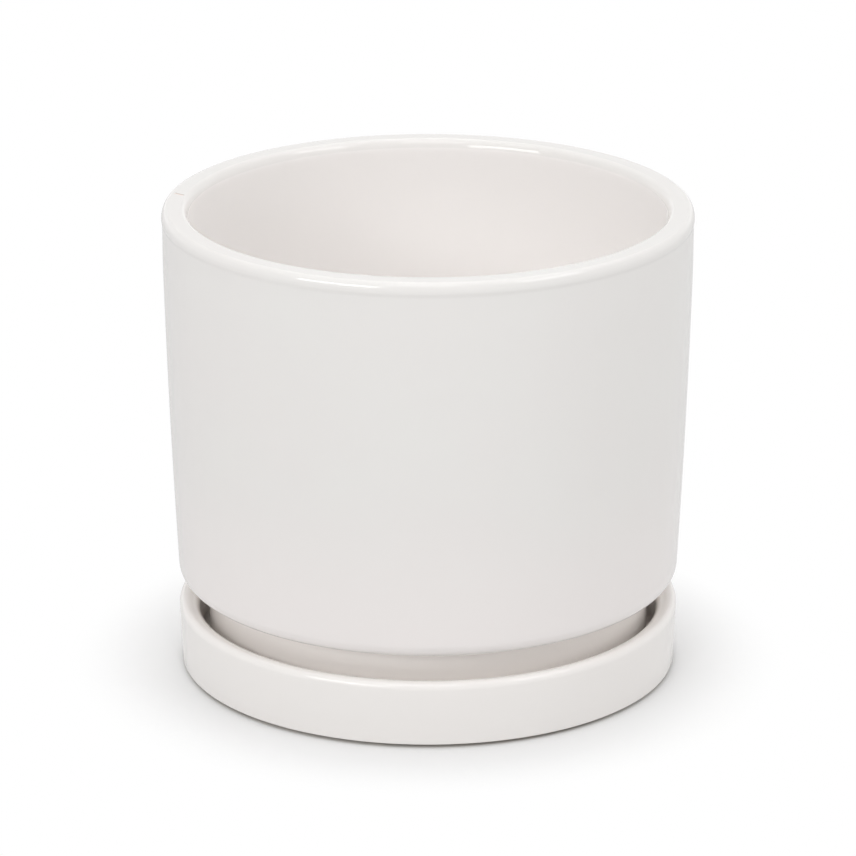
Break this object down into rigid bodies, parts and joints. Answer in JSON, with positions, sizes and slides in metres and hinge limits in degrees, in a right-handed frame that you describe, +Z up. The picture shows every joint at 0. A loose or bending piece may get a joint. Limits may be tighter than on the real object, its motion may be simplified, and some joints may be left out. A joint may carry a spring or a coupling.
{
  "type": "cylinder planter with saucer",
  "caption": "White glazed ceramic cylinder planter with a thick rounded lip, narrow foot and drainage hole, standing in a matching round saucer.",
  "frame": {"origin": "on the ground, under the middle of the saucer", "axes": "+Z up along the axis that the pot and the saucer are both turned about"},
  "size_m": [0.155, 0.155, 0.1403],
  "materials": {
    "pot_glaze": "glossy white glaze over off-white stoneware, foot ring left bare",
    "saucer_glaze": "glossy white glaze over off-white stoneware, foot ring left bare"
  },
  "bodies": {
    "root": {"pot": "pot_glaze", "saucer": "saucer_glaze"}
  },
  "joints": []
}
